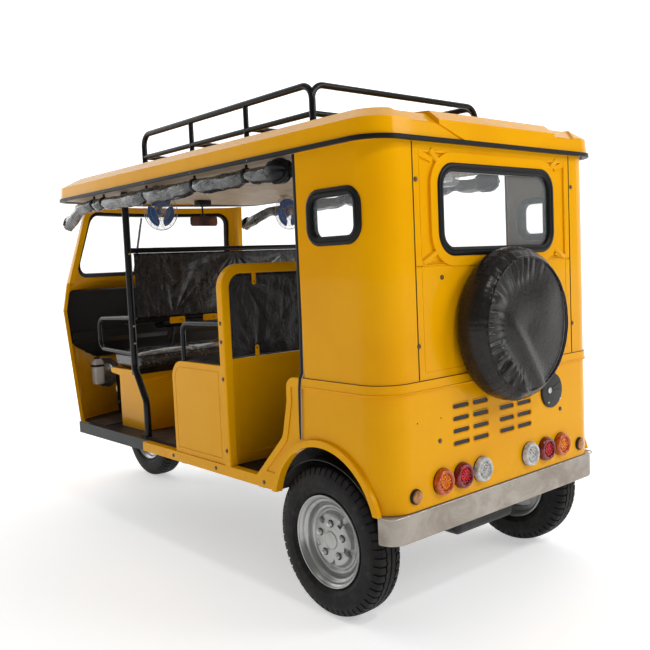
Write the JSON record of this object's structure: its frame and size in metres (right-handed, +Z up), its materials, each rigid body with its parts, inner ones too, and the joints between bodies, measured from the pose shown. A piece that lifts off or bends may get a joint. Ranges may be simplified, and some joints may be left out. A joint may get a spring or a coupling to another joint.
{
  "type": "auto rickshaw",
  "caption": "Three-wheeled auto rickshaw with open sides, driver's bench, passenger bench, luggage bay over a rear engine and a roof rack.",
  "frame": {"origin": "middle of the footprint, on the ground", "axes": "+Z up, the front points along -Y, +X is the vehicle's left side"},
  "size_m": [1.316, 3.132, 1.955],
  "materials": {
    "body_paint": "glossy yellow paint",
    "black_paint": "black enamel on tube and sheet",
    "chassis_paint": "satin black chassis paint",
    "silver_paint": "silver paint",
    "bare_metal": "dull cast metal",
    "running_gear": "dusty black paint",
    "tyre_rubber": "matte road rubber",
    "seal_rubber": "black rubber extrusion",
    "mat_rubber": "ribbed rubber mat",
    "black_plastic": "grained black plastic",
    "white_plastic": "translucent white plastic",
    "clear_glass": "clear safety glass",
    "mirror_glass": "mirror in a black shell",
    "amber_lens": "amber lens",
    "red_lens": "red lens",
    "clear_lens": "clear lens",
    "fan_blue": "blue translucent plastic",
    "black_vinyl": "black vinyl cloth",
    "seat_vinyl": "dark vinyl under crinkled film",
    "curtain_vinyl": "dark coated cloth with clear film",
    "beige_lining": "beige lining",
    "skirt_grey": "dark grey underseal"
  },
  "bodies": {
    "chassis": {"chassis_frame": "chassis_paint", "floor_pan": "chassis_paint", "floor_mat": "mat_rubber", "sills": "body_paint", "front_skirts": "skirt_grey", "front_cowl": "body_paint", "windscreen_frame": "body_paint", "dash_panel": "black_plastic", "side_panels": "body_paint", "driver_posts": "black_paint", "cabin_screens": "black_vinyl", "partition_frame": "body_paint", "partition_panel": "body_paint", "driver_seat_pan": "body_paint", "passenger_seat_base": "body_paint", "rear_tub": "body_paint", "engine_bay": "chassis_paint", "quarter_panels": "body_paint", "rear_panel": "body_paint", "window_glass": "clear_glass", "window_seals": "seal_rubber", "roof_panel": "body_paint", "roof_gutter": "seal_rubber", "headliner": "beige_lining", "roof_rack": "black_paint", "rear_bumper": "silver_paint", "lamps_amber": "amber_lens", "lamps_red": "red_lens", "lamps_clear": "clear_lens", "lamp_bezels": "black_plastic", "fuel_flap": "black_plastic", "spare_wheel_cover": "black_vinyl", "engine_block": "bare_metal", "rear_suspension": "running_gear", "curtain_rolls": "curtain_vinyl", "cabin_fans": "white_plastic", "interior_mirror": "mirror_glass", "wiper": "black_paint", "controls": "black_paint", "bottles": "white_plastic", "arm_loops": "black_paint", "driver_cushion": "seat_vinyl", "passenger_cushion": "seat_vinyl", "passenger_backrest": "seat_vinyl"},
    "steering": {"front_fork": "running_gear", "handlebar": "black_paint", "front_mudguard": "body_paint"},
    "front_wheel": {"rim_front": "silver_paint", "tyre_front": "tyre_rubber"},
    "rear_wheel_left": {"rim_rear_left": "silver_paint", "tyre_rear_left": "tyre_rubber"},
    "rear_wheel_right": {"rim_rear_right": "silver_paint", "tyre_rear_right": "tyre_rubber"},
    "fan_left": {"fan_blades_left": "fan_blue"},
    "fan_right": {"fan_blades_right": "fan_blue"}
  },
  "joints": [
    {"name": "steer", "type": "hinge", "parent": "chassis", "child": "steering", "pos_m": [0, -1.252, 0.275], "axis": [0, 0.3746, 0.9272], "range_deg": [-35, 35]},
    {"name": "front_wheel_spin", "type": "hinge", "parent": "steering", "child": "front_wheel", "pos_m": [0, -1.272, 0.275], "axis": [1, 0, 0], "continuous": true},
    {"name": "rear_left_spin", "type": "hinge", "parent": "chassis", "child": "rear_wheel_left", "pos_m": [0.548, 1.078, 0.275], "axis": [1, 0, 0], "continuous": true},
    {"name": "rear_right_spin", "type": "hinge", "parent": "chassis", "child": "rear_wheel_right", "pos_m": [-0.548, 1.078, 0.275], "axis": [1, 0, 0], "continuous": true},
    {"name": "fan_left_spin", "type": "hinge", "parent": "chassis", "child": "fan_left", "pos_m": [0.405, -0.322, 1.574], "axis": [0, 1, 0], "continuous": true},
    {"name": "fan_right_spin", "type": "hinge", "parent": "chassis", "child": "fan_right", "pos_m": [-0.405, -0.322, 1.574], "axis": [0, 1, 0], "continuous": true}
  ]
}
